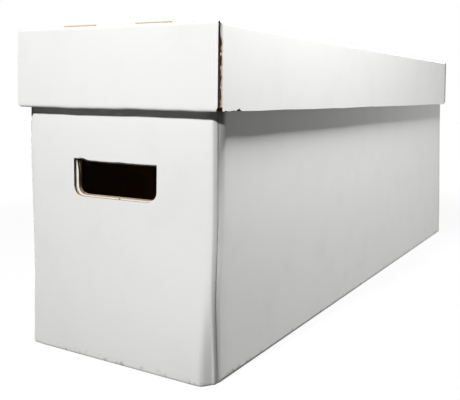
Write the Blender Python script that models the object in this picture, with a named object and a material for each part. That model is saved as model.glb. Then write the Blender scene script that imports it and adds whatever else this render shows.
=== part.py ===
"""Long storage box for comic books: a tall tray and a lift-off lid, folded from corrugated board.

Each of the two is one die-cut blank. The side walls fold up and carry corner flaps, and each end is a
strip that goes up outside, over a rim and down inside, so it grips the flaps and locks with two tabs
in slots. The solids here are the panels between the creases.

Frame: X across the box, Y along it, Z up, origin on the ground under the middle. Metres.
"""
import math

import bmesh
import bpy
from mathutils import Matrix, Vector

# Corrugated board
BOARD = 0.0030              # thickness of the board
SEAT_GAP = 0.0003           # air between two layers that lie on each other
LINER = 0.0004              # paper on each face of the board
CORE_PAPER = 0.00035        # paper of the waved core, on either side of a channel
FLUTE_PITCH = 0.0065        # one wave of the core
FLUTE_SHOWN = 0.0080        # depth to which the channels stand open in a raw top edge
FOLD_RADIUS = 0.0024        # rounding along a crease
CORNER_RADIUS = 0.0034      # rounding of the upright corners

# Tray
BODY_WIDTH = 0.1900
BODY_LENGTH = 0.7060
BODY_HEIGHT = 0.2677
END_INSET_FOOT = 0.0030     # upright edge of the outer end wall, back from the side, at the floor
END_INSET_HEAD = 0.0053     # the same at the rim
INNER_PLAY = 0.0012         # inner end wall to side wall
RETURN_WIDTH = 0.0060       # strip that the side wall turns round each corner
RETURN_TAPER = 0.0006       # how much that strip's edge is cut back at top and bottom
FLAP_MEETING = 0.0030       # slit between the two corner flaps of an end
FLAP_TAPER = 0.0025         # how much a flap's free edge is cut back at top and bottom
FLOOR_RELIEF = 0.0060       # notch radius at the corners of the floor and of the lid's top

# Hand hole, cut through the three layers of each end
HOLE_WIDTH = 0.0838
HOLE_HEIGHT = 0.0286
HOLE_TOP = 0.1627           # height of its upper edge, which is the flap's crease
HOLE_OFFSET = -0.0030       # its middle, left of the middle of the end seen from outside
HOLE_TOP_RADIUS = 0.0020
HOLE_FOOT_RADIUS = 0.0085
HOLE_STEP_SIDE = 0.0024     # inner layers stand in from the outer hole's sides by this
HOLE_STEP_FOOT = 0.0017     # and from its lower edge by this
HOLE_HEADROOM = 0.0005      # and their upper edges stand above the pushed-in flap by this
HAND_FLAP_PLAY = 0.0004     # hand flap to the inner layers as it swings

# Lid
LID_DEPTH = 0.0659          # its outside height
LID_SIDE_PLAY = 0.0010      # side wall to skirt
LID_END_PLAY = 0.0009       # end wall to skirt
LID_INSET_FOOT = 0.0025     # upright edge of the outer end skirt, back from the side, at its foot
LID_INSET_HEAD = 0.0005     # the same at the top
LID_RIM_PLAY = 0.0006       # rim to side skirt
LID_FLAP_LENGTH = 0.0600
LID_FLAP_TAPER = 0.0060

# Locking tabs of the inner layers, and their slots
TAB_WIDTH = 0.0330
TAB_RADIUS = 0.0012
SLOT_PLAY = 0.0006
BODY_TAB_PLACE = 0.0450     # middle of each tab, from the middle of the end
LID_TAB_PLACE = 0.0366
BODY_TAB_SHY = 0.0004       # tray tabs stop this far above the ground
LID_TAB_PROUD = 0.0015      # lid tabs stand this far out of the top

# Making
OVERRUN = 0.0020            # how far a cutter runs past what it cuts
WELD = 0.00001              # points closer than this are one point
ARC_STEPS = 6
FOLD_STEPS = 4
BEND_STEPS = 6
FLAT_ANGLE = math.radians(0.5)
SHARP_ANGLE = math.radians(35)

# Places worked out from the sizes above
PLY = BOARD + SEAT_GAP
END_THICKNESS = 3 * BOARD + 2 * SEAT_GAP
LID_WIDTH = BODY_WIDTH + 2 * (LID_SIDE_PLAY + BOARD)
LID_LENGTH = BODY_LENGTH + 2 * (LID_END_PLAY + END_THICKNESS)
LID_TOP = BODY_HEIGHT + PLY
LID_FOOT = LID_TOP - LID_DEPTH

WHITE_LINER = (0.86, 0.86, 0.84, 1.0)
INNER_PAPER = (0.60, 0.46, 0.31, 1.0)
PAPER_ROUGHNESS = 0.72


def clear_scene():
    """Takes away whatever the file holds, so that only this box is built."""
    for thing in list(bpy.data.objects):
        bpy.data.objects.remove(thing, do_unlink=True)


def new_collection(name):
    """A collection linked to the scene."""
    collection = bpy.data.collections.new(name)
    bpy.context.scene.collection.children.link(collection)
    return collection


def paper(name, colour):
    """A matt paper finish."""
    material = bpy.data.materials.new(name)
    material.use_nodes = True
    shader = material.node_tree.nodes["Principled BSDF"]
    shader.inputs["Base Color"].default_value = colour
    shader.inputs["Roughness"].default_value = PAPER_ROUGHNESS
    shader.inputs["Metallic"].default_value = 0.0
    return material


def evaluated_mesh(piece):
    """The piece's mesh with its modifiers worked in."""
    bpy.context.view_layer.update()
    graph = bpy.context.evaluated_depsgraph_get()
    return bpy.data.meshes.new_from_object(piece.evaluated_get(graph), depsgraph=graph)


def outline(corners):
    """Closed outline from corners (u, v, radius), with an arc at each corner that has a radius."""
    points = []
    for index, (u, v, radius) in enumerate(corners):
        here = Vector((u, v))
        if radius == 0:
            points.append(here)
            continue
        back = (Vector(corners[index - 1][:2]) - here).normalized()
        ahead = (Vector(corners[(index + 1) % len(corners)][:2]) - here).normalized()
        half_angle = back.angle(ahead) / 2
        centre = here + (back + ahead).normalized() * radius / math.sin(half_angle)
        reach = radius / math.tan(half_angle)
        start = here + back * reach - centre
        turn = math.copysign(math.pi - 2 * half_angle, ahead.cross(back))
        points += [centre + Matrix.Rotation(turn * step / ARC_STEPS, 2) @ start
                   for step in range(ARC_STEPS + 1)]
    return points


def sheet(name, outlines, thickness, collection):
    """A flat piece round the XY plane: a filled 2D curve, holes included, made a mesh."""
    curve = bpy.data.curves.new(name, "CURVE")
    curve.dimensions = "2D"
    curve.fill_mode = "BOTH"
    curve.extrude = thickness / 2
    for points in outlines:
        spline = curve.splines.new("POLY")
        spline.points.add(len(points) - 1)
        for knot, point in zip(spline.points, points):
            knot.co = (point[0], point[1], 0, 1)
        spline.use_cyclic_u = True
    drawn = bpy.data.objects.new(name + "_outline", curve)
    collection.objects.link(drawn)
    mesh = evaluated_mesh(drawn)
    bpy.data.objects.remove(drawn, do_unlink=True)
    mesh.name = name
    form = bmesh.new()
    form.from_mesh(mesh)
    bmesh.ops.remove_doubles(form, verts=form.verts, dist=WELD)
    bmesh.ops.dissolve_limit(form, angle_limit=FLAT_ANGLE, verts=form.verts, edges=form.edges)
    bmesh.ops.recalc_face_normals(form, faces=form.faces)
    form.to_mesh(mesh)
    form.free()
    piece = bpy.data.objects.new(name, mesh)
    collection.objects.link(piece)
    return piece


def round_edges(piece, radius, picked):
    """Rounds each edge whose two ends are both picked."""
    form = bmesh.new()
    form.from_mesh(piece.data)
    edges = [edge for edge in form.edges if all(picked(vert.co) for vert in edge.verts)]
    bmesh.ops.bevel(form, geom=edges, offset=radius, offset_type="OFFSET", segments=FOLD_STEPS,
                    profile=0.5, affect="EDGES", clamp_overlap=True)
    form.to_mesh(piece.data)
    form.free()


def as_cutter(piece):
    """Marks a solid that only cuts others."""
    piece.hide_render = True
    piece.display_type = "WIRE"
    return piece


def carve(piece, cutter):
    """Takes the cutter's space out of the piece."""
    step = piece.modifiers.new("cut by " + cutter.name, "BOOLEAN")
    step.operation = "DIFFERENCE"
    step.solver = "EXACT"
    step.object = cutter


def settle(piece):
    """Works the piece's modifiers into its mesh."""
    mesh = evaluated_mesh(piece)
    piece.modifiers.clear()
    piece.data = mesh


def stand_up(piece, distance, across=0, height=0):
    """Stands a flat piece in the front end, its upper face turned to the outside."""
    piece.rotation_euler = (math.pi / 2, 0, 0)
    piece.location = (across, -distance, height)


def turned_copy(piece, name, collection):
    """The same piece at the other end or side: half a turn round the upright axis."""
    twin = bpy.data.objects.new(name, piece.data)
    collection.objects.link(twin)
    bpy.context.view_layer.update()
    twin.matrix_world = Matrix.Rotation(math.pi, 4, "Z") @ piece.matrix_world
    return twin


def ply_distance(length, ply):
    """From the middle of the box to the middle of an end's layer: 0 outer, 1 flap, 2 inner."""
    return length / 2 - BOARD / 2 - ply * PLY


def flute_cutter(name, run, depth, collection):
    """Two rows of three-sided channels, the spaces on both sides of the board's waved core.

    The row lies along X, the board's thickness along Y and the channels along Z.
    """
    half_base = FLUTE_PITCH / 2 - CORE_PAPER
    face = BOARD / 2 - LINER
    tip = CORE_PAPER / 2 - face
    count = int(run / FLUTE_PITCH) - 1
    triangles = []
    for side in (1, -1):
        for index in range(count):
            middle = (index - (count - 1) / 2 + (1 - side) / 4) * FLUTE_PITCH
            triangles.append([(middle - half_base, side * face), (middle + half_base, side * face),
                              (middle, side * tip)])
    return as_cutter(sheet(name, triangles, depth, collection))


def folded_side(name, width, end_face, levels, return_levels, crease, cutters, collection):
    """A side panel at +X with the corners that it turns, made flat and then bent.

    It is drawn as it lies in the blank: u along the box, v up, w through the board. A point past the
    straight part goes round the corner at its own radius, and past the quarter turn it runs inwards.
    """
    neutral = CORNER_RADIUS - BOARD / 2
    bend = neutral * math.pi / 2
    straight = end_face - CORNER_RADIUS
    turned = straight + bend
    low, high = levels
    return_low, return_high = return_levels
    reach = turned + RETURN_WIDTH
    edge_low, edge_high = return_low + RETURN_TAPER, return_high - RETURN_TAPER
    corners = [(-reach, edge_low, 0), (-turned, return_low, 0), (-turned, low, 0),
               (turned, low, 0), (turned, return_low, 0), (reach, edge_low, 0),
               (reach, edge_high, 0), (turned, return_high, 0), (turned, high, 0),
               (-turned, high, 0), (-turned, return_high, 0), (-reach, edge_high, 0)]
    panel = sheet(name, [outline(corners)], BOARD, collection)
    round_edges(panel, FOLD_RADIUS, lambda point: point.z > 0 and abs(point.y - crease) < WELD)
    if crease == low:
        channels = flute_cutter(name + "_channels", 2 * straight, 2 * FLUTE_SHOWN, cutters)
        channels.rotation_euler = (math.pi / 2, 0, 0)
        channels.location = (0, high, 0)
        carve(panel, channels)
        settle(panel)
    form = bmesh.new()
    form.from_mesh(panel.data)
    for side in (1, -1):
        for step in range(BEND_STEPS + 1):
            bmesh.ops.bisect_plane(form, geom=form.verts[:] + form.edges[:] + form.faces[:], dist=WELD,
                                   plane_co=(side * (straight + bend * step / BEND_STEPS), 0, 0),
                                   plane_no=(1, 0, 0))
    for vert in form.verts:
        u, v, w = vert.co
        side = math.copysign(1, u)
        angle = min(max(abs(u) - straight, 0) / neutral, math.pi / 2)
        radius = neutral + w
        run_in = max(abs(u) - turned, 0)
        along = min(abs(u), straight) + radius * math.sin(angle)
        across = width / 2 - CORNER_RADIUS + radius * math.cos(angle) - run_in
        vert.co = (across, side * along, v)
    form.to_mesh(panel.data)
    form.free()
    return panel


def end_panel(name, foot, head, half_foot, half_head, collection):
    """A panel of an end, its upright edges cut at a slight slope."""
    corners = [(-half_foot, foot, 0), (half_foot, foot, 0), (half_head, head, 0), (-half_head, head, 0)]
    return sheet(name, [outline(corners)], BOARD, collection)


def tabbed_panel(name, half_width, edge, far_edge, tab_end, tab_place, holes, collection):
    """An inner end panel: a rectangle with two locking tabs on one level edge."""
    corners = [(-half_width, edge, 0)]
    for middle in (-tab_place, tab_place):
        left, right = middle - TAB_WIDTH / 2, middle + TAB_WIDTH / 2
        corners += [(left, edge, 0), (left, tab_end, TAB_RADIUS), (right, tab_end, TAB_RADIUS),
                    (right, edge, 0)]
    corners += [(half_width, edge, 0), (half_width, far_edge, 0), (-half_width, far_edge, 0)]
    return sheet(name, [outline(corners)] + holes, BOARD, collection)


def slotted_panel(name, half_width, half_length, slot_distance, tab_place, collection):
    """The floor or the lid's top: relieved corners, and two slots at each end for the tabs."""
    outlines = [outline([(across * half_width, along * half_length, FLOOR_RELIEF)
                         for across, along in ((-1, -1), (1, -1), (1, 1), (-1, 1))])]
    half_slot = TAB_WIDTH / 2 + SLOT_PLAY
    half_depth = BOARD / 2 + SLOT_PLAY
    for along in (-slot_distance, slot_distance):
        for middle in (-tab_place, tab_place):
            outlines.append([(middle - half_slot, along - half_depth),
                             (middle + half_slot, along - half_depth),
                             (middle + half_slot, along + half_depth),
                             (middle - half_slot, along + half_depth)])
    return sheet(name, outlines, BOARD, collection)


def rim_strip(name, half_width, length, level, outer_side, collection):
    """The narrow strip over the three layers of an end, with a crease along each long edge."""
    corners = [(-half_width, -length / 2, 0), (half_width, -length / 2, 0),
               (half_width, END_THICKNESS - length / 2, 0), (-half_width, END_THICKNESS - length / 2, 0)]
    strip = sheet(name, [outline(corners)], BOARD, collection)
    round_edges(strip, FOLD_RADIUS, lambda point: point.z * outer_side > 0)
    strip.location = (0, 0, level)
    return strip


def hole_outline(side_step, foot_step, headroom, top_radius):
    """Hand hole with a straight crease on top and round lower corners."""
    half = HOLE_WIDTH / 2 - side_step
    foot = HOLE_TOP - HOLE_HEIGHT + foot_step
    top = HOLE_TOP + headroom
    foot_radius = HOLE_FOOT_RADIUS - foot_step
    left, right = HOLE_OFFSET - half, HOLE_OFFSET + half
    return outline([(left, foot, foot_radius), (right, foot, foot_radius),
                    (right, top, top_radius), (left, top, top_radius)])


def corner_flap(name, side, hole, collection):
    """A flap between the two layers of the front end, notched where the hand hole passes."""
    crease = BODY_WIDTH / 2 - CORNER_RADIUS - RETURN_WIDTH - SEAT_GAP
    free = FLAP_MEETING / 2
    foot, head = PLY, BODY_HEIGHT - PLY
    corners = [(side * crease, foot, 0), (side * free, foot + FLAP_TAPER, 0),
               (side * free, head - FLAP_TAPER, 0), (side * crease, head, 0)]
    flap = sheet(name, [outline(corners)], BOARD, collection)
    stand_up(flap, ply_distance(BODY_LENGTH, 1))
    carve(flap, hole)
    settle(flap)
    return flap


def hand_flap(name, collection):
    """The flap of the hand hole, pushed in and level, its origin on the crease."""
    half = HOLE_WIDTH / 2 - HOLE_STEP_SIDE - HAND_FLAP_PLAY
    sweep = HOLE_HEIGHT - HOLE_STEP_FOOT - HAND_FLAP_PLAY
    length = math.sqrt(sweep ** 2 - BOARD ** 2)
    radius = HOLE_FOOT_RADIUS
    corners = [(-half, -length, radius), (half, -length, radius), (half, -SEAT_GAP, 0),
               (-half, -SEAT_GAP, 0)]
    flap = sheet(name, [outline(corners)], BOARD, collection)
    flap.data.transform(Matrix.Translation((0, 0, BOARD / 2)))
    flap.rotation_euler = (math.pi, 0, 0)
    flap.location = (HOLE_OFFSET, BOARD - BODY_LENGTH / 2, HOLE_TOP)
    return flap


def build_tray(parts, cutters):
    """Floor, side walls with their corners, corner flaps and the rolled-over ends."""
    half_width = BODY_WIDTH / 2 - PLY
    rim_foot = BODY_HEIGHT - PLY
    floor = slotted_panel("floor_panel", half_width, BODY_LENGTH / 2 - PLY,
                          ply_distance(BODY_LENGTH, 2), BODY_TAB_PLACE, parts)
    floor.location = (0, 0, BOARD / 2)
    made = [floor]

    right = folded_side("side_wall_right", BODY_WIDTH, BODY_LENGTH / 2 - PLY, (0, BODY_HEIGHT),
                        (PLY, rim_foot), 0, cutters, parts)
    made += [right, turned_copy(right, "side_wall_left", parts)]

    outer_outline = hole_outline(0, 0, 0, HOLE_TOP_RADIUS)
    inner_outline = hole_outline(HOLE_STEP_SIDE, HOLE_STEP_FOOT, HOLE_HEADROOM, 0)
    outer_hole = as_cutter(sheet("outer_hole", [outer_outline], BOARD + 2 * OVERRUN, cutters))
    inner_hole = as_cutter(sheet("inner_hole", [inner_outline], BOARD + 2 * OVERRUN, cutters))
    stand_up(outer_hole, ply_distance(BODY_LENGTH, 0))
    stand_up(inner_hole, ply_distance(BODY_LENGTH, 1))

    half_foot = BODY_WIDTH / 2 - END_INSET_FOOT
    half_head = BODY_WIDTH / 2 - END_INSET_HEAD
    outer = end_panel("end_wall_outer_front", 0, rim_foot, half_foot, half_head, parts)
    round_edges(outer, FOLD_RADIUS, lambda point: point.z > 0 and point.y < WELD)
    stand_up(outer, ply_distance(BODY_LENGTH, 0))
    carve(outer, outer_hole)
    settle(outer)

    rim = rim_strip("end_rim_front", half_head, BODY_LENGTH, BODY_HEIGHT - BOARD / 2, 1, parts)
    inner = tabbed_panel("end_wall_inner_front", BODY_WIDTH / 2 - BOARD - INNER_PLAY, PLY, rim_foot,
                         BODY_TAB_SHY, BODY_TAB_PLACE, [inner_outline], parts)
    stand_up(inner, ply_distance(BODY_LENGTH, 2))

    flap_right = corner_flap("corner_flap_front_right", 1, inner_hole, parts)
    flap_left = corner_flap("corner_flap_front_left", -1, inner_hole, parts)
    made += [outer, rim, inner, flap_right, flap_left]
    made += [turned_copy(flap_left, "corner_flap_rear_right", parts),
             turned_copy(flap_right, "corner_flap_rear_left", parts)]
    for piece in (outer, rim, inner):
        made.append(turned_copy(piece, piece.name.replace("front", "rear"), parts))

    front = hand_flap("hand_flap_front", parts)
    made += [front, turned_copy(front, "hand_flap_rear", parts)]
    return made


def build_lid(parts, cutters):
    """Top, side skirts with their corners, corner flaps and the rolled-over end skirts."""
    half_width = LID_WIDTH / 2 - PLY
    half_length = LID_LENGTH / 2 - PLY
    top = slotted_panel("lid_top_panel", half_width, half_length, ply_distance(LID_LENGTH, 2),
                        LID_TAB_PLACE, parts)
    top.location = (0, 0, LID_TOP - BOARD / 2)
    made = [top]

    under_top = LID_TOP - PLY
    over_rim = LID_FOOT + PLY
    right = folded_side("lid_side_skirt_right", LID_WIDTH, half_length, (LID_FOOT, LID_TOP),
                        (over_rim, under_top), LID_TOP, cutters, parts)
    made += [right, turned_copy(right, "lid_side_skirt_left", parts)]

    half_foot = LID_WIDTH / 2 - LID_INSET_FOOT
    half_head = LID_WIDTH / 2 - LID_INSET_HEAD
    outer = end_panel("lid_end_skirt_outer_front", over_rim, LID_TOP, half_foot, half_head, parts)
    round_edges(outer, FOLD_RADIUS, lambda point: point.z > 0 and abs(point.y - LID_TOP) < WELD)
    channels = flute_cutter("lid_channels", LID_TOP - over_rim - FOLD_RADIUS, LID_WIDTH + OVERRUN, cutters)
    channels.rotation_euler = (math.pi / 2, 0, math.pi / 2)
    channels.location = (0, (over_rim + LID_TOP - FOLD_RADIUS) / 2, 0)
    carve(outer, channels)
    settle(outer)
    stand_up(outer, ply_distance(LID_LENGTH, 0))

    rim_half = LID_WIDTH / 2 - BOARD - LID_RIM_PLAY
    rim = rim_strip("lid_end_rim_front", rim_half, LID_LENGTH, LID_FOOT + BOARD / 2, -1, parts)
    inner = tabbed_panel("lid_end_skirt_inner_front", LID_WIDTH / 2 - BOARD - INNER_PLAY, under_top,
                         over_rim, LID_TOP + LID_TAB_PROUD, LID_TAB_PLACE, [], parts)
    stand_up(inner, ply_distance(LID_LENGTH, 2))

    crease = LID_WIDTH / 2 - CORNER_RADIUS - RETURN_WIDTH - SEAT_GAP
    free = crease - LID_FLAP_LENGTH
    corners = [(free, over_rim + LID_FLAP_TAPER, 0), (crease, over_rim, 0), (crease, under_top, 0),
               (free, under_top, 0)]
    flap_right = sheet("lid_corner_flap_front_right", [outline(corners)], BOARD, parts)
    stand_up(flap_right, ply_distance(LID_LENGTH, 1))
    mirrored = [(-u, v, radius) for u, v, radius in corners]
    flap_left = sheet("lid_corner_flap_front_left", [outline(mirrored)], BOARD, parts)
    stand_up(flap_left, ply_distance(LID_LENGTH, 1))

    made += [outer, rim, inner, flap_right, flap_left]
    made += [turned_copy(flap_left, "lid_corner_flap_rear_right", parts),
             turned_copy(flap_right, "lid_corner_flap_rear_left", parts)]
    for piece in (outer, rim, inner):
        made.append(turned_copy(piece, piece.name.replace("front", "rear"), parts))
    return made


def finish(piece):
    """Shades the rounded folds smooth and gives the panel its paper."""
    if piece.data.materials:
        return
    brown = piece.name == "floor_panel" or "corner_flap" in piece.name
    piece.data.materials.append(paper(piece.name, INNER_PAPER if brown else WHITE_LINER))
    piece.data.shade_smooth()
    piece.data.set_sharp_from_angle(angle=SHARP_ANGLE)


def main():
    clear_scene()
    parts = new_collection("comic_book_storage_box")
    cutters = new_collection("cutters")
    pieces = build_tray(parts, cutters) + build_lid(parts, cutters)
    for piece in pieces:
        finish(piece)
    print(len(pieces), "panels,", sum(len(piece.data.polygons) for piece in pieces), "faces")


main()
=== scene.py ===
# %% [markdown]
# # A long storage box for comic books
# The box is two sheets of corrugated board, cut flat and folded: a tall tray and a shallow lid. This
# lesson dresses its packed model. The model gives the sizes and says what moves; here each panel is
# made again as real board, two papers with a waved one between them, and gets its paper finish.

# %% Load the packed model
import math

import bpy
import numpy as np
from mathutils import Matrix, Vector


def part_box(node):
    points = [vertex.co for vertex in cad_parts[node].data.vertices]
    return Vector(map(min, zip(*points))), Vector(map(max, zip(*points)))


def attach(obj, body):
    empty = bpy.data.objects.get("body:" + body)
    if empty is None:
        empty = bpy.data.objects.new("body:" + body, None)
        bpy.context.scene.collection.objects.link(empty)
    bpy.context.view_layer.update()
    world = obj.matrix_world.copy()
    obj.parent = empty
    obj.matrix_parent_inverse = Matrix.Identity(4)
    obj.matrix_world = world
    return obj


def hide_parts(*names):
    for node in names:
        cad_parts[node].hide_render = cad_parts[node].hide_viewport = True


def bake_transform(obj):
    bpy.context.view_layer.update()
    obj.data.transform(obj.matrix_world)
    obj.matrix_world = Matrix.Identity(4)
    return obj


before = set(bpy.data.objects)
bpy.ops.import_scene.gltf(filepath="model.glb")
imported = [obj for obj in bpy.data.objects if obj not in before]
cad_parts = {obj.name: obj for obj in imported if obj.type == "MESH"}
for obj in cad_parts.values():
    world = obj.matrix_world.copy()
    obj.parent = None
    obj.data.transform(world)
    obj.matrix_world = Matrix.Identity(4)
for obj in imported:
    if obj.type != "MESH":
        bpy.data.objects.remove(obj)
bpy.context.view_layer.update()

# %% [markdown]
# ## Where the camera stands
# The photograph's sides stand upright while the box is seen from a little above, which a camera does
# when its frame is shifted down on the lens instead of the whole camera being tilted. A look-at
# constraint could aim it, but a matrix made of its three directions also holds the slight roll.

# %% Camera
PICTURE_WIDTH = 460
CAMERA_PLACE = (0.3548, -0.8026, 0.2189)
CAMERA_YAW = 0.5104             # radians to the left of straight along the box
CAMERA_DIP = 0.0450             # below the horizon
CAMERA_ROLL = 0.0114
FOCAL_PIXELS = 709.05
FRAME_SHIFT_PIXELS = -75.0      # from the lens axis down to the middle of the picture
SENSOR = 36.0

camera_data = bpy.data.cameras.new("camera")
camera_data.sensor_width = SENSOR
camera_data.lens = FOCAL_PIXELS / PICTURE_WIDTH * SENSOR
camera_data.shift_y = FRAME_SHIFT_PIXELS / PICTURE_WIDTH
camera = bpy.data.objects.new("camera", camera_data)
bpy.context.scene.collection.objects.link(camera)
aim = Matrix.Rotation(CAMERA_YAW, 4, "Z") @ Matrix.Rotation(math.pi / 2 - CAMERA_DIP, 4, "X")
camera.matrix_world = Matrix.Translation(CAMERA_PLACE) @ aim @ Matrix.Rotation(CAMERA_ROLL, 4, "Z")
bpy.context.scene.camera = camera
print("lens", round(camera_data.lens, 1), "mm, shift", round(camera_data.shift_y, 3))

# %% [markdown]
# ## Sizes
# Nothing is measured twice: the lengths of the tray and the lid come from the packed nodes, and only
# what a box of corners can't tell, such as the radius of a fold, is written here as a value.

# %% Sizes of the board and of the two blanks
GAP = 0.0003                    # air between layers
FOLD_RADIUS = 0.0034            # outside of a crease
LINER = 0.0004                  # paper on each face
CORE_PAPER = 0.00035            # waved paper between them
FLUTE_PITCH = 0.0065
RETURN_WIDTH = 0.0060           # what a side wall turns round its corner before its flap begins


def size_of(node):
    """Lowest and highest corner of a packed node, as two arrays."""
    low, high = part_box(node)
    return np.array(low), np.array(high)


BOARD = size_of("floor_panel")[1][2] - size_of("floor_panel")[0][2]
PLY = BOARD + GAP
NEUTRAL = FOLD_RADIUS - BOARD / 2            # radius of a crease at the middle of the board
QUARTER = NEUTRAL * math.pi / 2              # length of blank that a square fold takes
TRAY_HALF_WIDTH = size_of("side_wall_right")[1][0]
TRAY_HALF_LENGTH = -size_of("end_wall_outer_front")[0][1]
TRAY_HEIGHT = size_of("end_rim_front")[1][2]
LID_HALF_WIDTH = size_of("lid_side_skirt_right")[1][0]
LID_HALF_LENGTH = -size_of("lid_end_skirt_outer_front")[0][1]
LID_TOP = size_of("lid_side_skirt_right")[1][2]
LID_DEPTH = LID_TOP - size_of("lid_end_rim_front")[0][2]
print("tray", 2 * TRAY_HALF_WIDTH, 2 * TRAY_HALF_LENGTH, TRAY_HEIGHT, "lid depth", LID_DEPTH)

# %% [markdown]
# ## Drawing flat, folding by a formula
# A box maker draws the blank flat and creases it. The same is done here: every panel is a grid of
# points of the flat blank, and one function says where a point of the blank ends up once it is folded.
# Bones or bend modifiers could fold a flat mesh too, but a formula gives exact corners, and the grain
# and the flutes stay where they lie in the blank, so that they run on round each crease.

# %% The folded shape of a blank
def squarer(angle):
    """How much further out than a plain arc a crease goes: the radius of a fourth-power superellipse."""
    return (np.sin(angle) ** 4 + np.cos(angle) ** 4) ** -0.25


class Blank:
    """A tray folded from one sheet. The lid is the same thing, shallower and turned over.

    Points of the blank are (across, along, out): across and along from the middle of the floor, and out
    from the middle of the board towards its white face. A point past a crease first goes round it, at
    its own radius NEUTRAL + out, and then straight on.
    """

    def __init__(self, half_width, half_length, height, base, up):
        self.half_width, self.half_length, self.height = half_width, half_length, height
        self.base, self.up = base, up
        self.side_crease = half_width - FOLD_RADIUS
        self.end_crease = half_length - FOLD_RADIUS
        self.side_straight = half_length - PLY - FOLD_RADIUS

    def lift(self, x, y, z):
        """Stands the tray on its base, or hangs the lid from its top."""
        return np.stack(np.broadcast_arrays(x, y, self.base + self.up * z), -1)

    def floor(self, across, along, out):
        """The flat middle: out points down."""
        return self.lift(across, along, BOARD / 2 - out)

    def side(self, across, along, out):
        """Side wall, its corners and corner flaps: up round the floor's crease by an angle, then
        sideways round the upright crease by another angle, each the length of blank over NEUTRAL."""
        past = across - self.side_crease
        beyond = np.abs(along) - self.side_straight
        rising = np.clip(past / NEUTRAL, 0, math.pi / 2)
        radius = (NEUTRAL + out) * squarer(rising)
        turning = np.clip(beyond / NEUTRAL, 0, math.pi / 2)
        x = self.side_crease + radius * np.sin(rising) * np.cos(turning) - np.maximum(beyond - QUARTER, 0)
        y = np.minimum(np.abs(along), self.side_straight) + radius * np.sin(turning)
        z = FOLD_RADIUS - radius * np.cos(rising) + np.maximum(past - QUARTER, 0)
        return self.lift(x, np.sign(along) * y, z)

    def end(self, across, along, out):
        """An end: up outside, over the rim and down inside. Each stretch is straight or a square fold
        to the left; a point is the stretch's middle line less its out times the left-hand direction."""
        past = -along - self.end_crease
        tall, over = self.height - 2 * FOLD_RADIUS, 2 * PLY - 2 * NEUTRAL
        stretches = [(QUARTER, True), (tall, False), (QUARTER, True), (over, False), (QUARTER, True),
                     (self.height, False)]
        outward, upward = np.minimum(past, 0) + 0 * out, BOARD / 2 - out + 0 * past
        start, place, heading = 0.0, np.array([0.0, BOARD / 2]), 0.0
        for length, folded in stretches:
            here = past >= start
            ahead = np.array([math.cos(heading), math.sin(heading)])
            left = np.array([-ahead[1], ahead[0]])
            if folded:
                angle = np.minimum((past - start) / NEUTRAL, math.pi / 2)
                centre = place + NEUTRAL * left
                radius = (NEUTRAL + out) * squarer(np.maximum(angle, 0))
                a = centre[0] + radius * (ahead[0] * np.sin(angle) - left[0] * np.cos(angle))
                b = centre[1] + radius * (ahead[1] * np.sin(angle) - left[1] * np.cos(angle))
                place = place + NEUTRAL * (left + ahead)
                heading += math.pi / 2
            else:
                a = place[0] + ahead[0] * (past - start) - left[0] * out
                b = place[1] + ahead[1] * (past - start) - left[1] * out
                place = place + ahead * length
            outward, upward = np.where(here, a, outward), np.where(here, b, upward)
            start += length
        return self.lift(across + 0 * outward, -(self.end_crease + outward), upward)


tray = Blank(TRAY_HALF_WIDTH, TRAY_HALF_LENGTH, TRAY_HEIGHT, 0.0, 1)
lid = Blank(LID_HALF_WIDTH, LID_HALF_LENGTH, LID_DEPTH, LID_TOP, -1)
to_rim = QUARTER + tray.height - 2 * FOLD_RADIUS      # of blank, from the floor's crease
print("rim of the tray folds at", tray.end(0.0, -tray.end_crease - to_rim, 0.0).round(4))

# %% [markdown]
# ## Grid lines
# A panel is a grid with some cells left out, for a hole, a slot or the space beside a tab. Lines run
# through every place that matters and are spread evenly between. Cutting the holes with Booleans would
# do it as well, but leaves long thin triangles that bend badly.

# %% Grid lines
HAIR = 1e-6                     # share of a step by which a cell may be too long
BEND_CELLS = 6                  # cells round a square fold


def lines(stops, step):
    """Places through every stop and, between two stops, evenly spaced and at most a step apart."""
    runs = [np.linspace(a, b, max(1, math.ceil((b - a) / step - HAIR)) + 1)[:-1]
            for a, b in zip(stops[:-1], stops[1:])]
    return np.concatenate(runs + [[stops[-1]]])


def merged(*runs):
    """All places of several runs in rising order, those within a tenth of a micrometre as one."""
    return np.unique(np.concatenate(runs).round(7))


def spread(edges, counts):
    """Grid lines across: in each row, evenly spaced between that row's edges. Edges are one value for
    all rows or one for each row, and counts are the cells between one edge and the next."""
    edges = [np.atleast_1d(edge)[:, None] for edge in edges]
    runs = [a + (b - a) * np.linspace(0, 1, n + 1)[:-1] for a, b, n in zip(edges[:-1], edges[1:], counts)]
    rows = max(len(run) for run in runs)
    return np.hstack([np.broadcast_to(run, (rows, run.shape[1])) for run in runs + [edges[-1]]])


def middles(places):
    """Halfway between each place and the next."""
    return (places[1:] + places[:-1]) / 2


crease_lines = lines([0, QUARTER], QUARTER / BEND_CELLS)
print("a crease takes", round(QUARTER * 1000, 2), "mm of blank")

# %% [markdown]
# ## Closing a sheet
# Paper has two faces and a cut edge all round, and the mesh that stands for it is closed. Solidify would
# give a grid its back. Here the fold places both faces itself, each at its own radius in a bend, and only
# the walls are to be found: one wherever just one of two neighbouring cells is kept.

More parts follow.
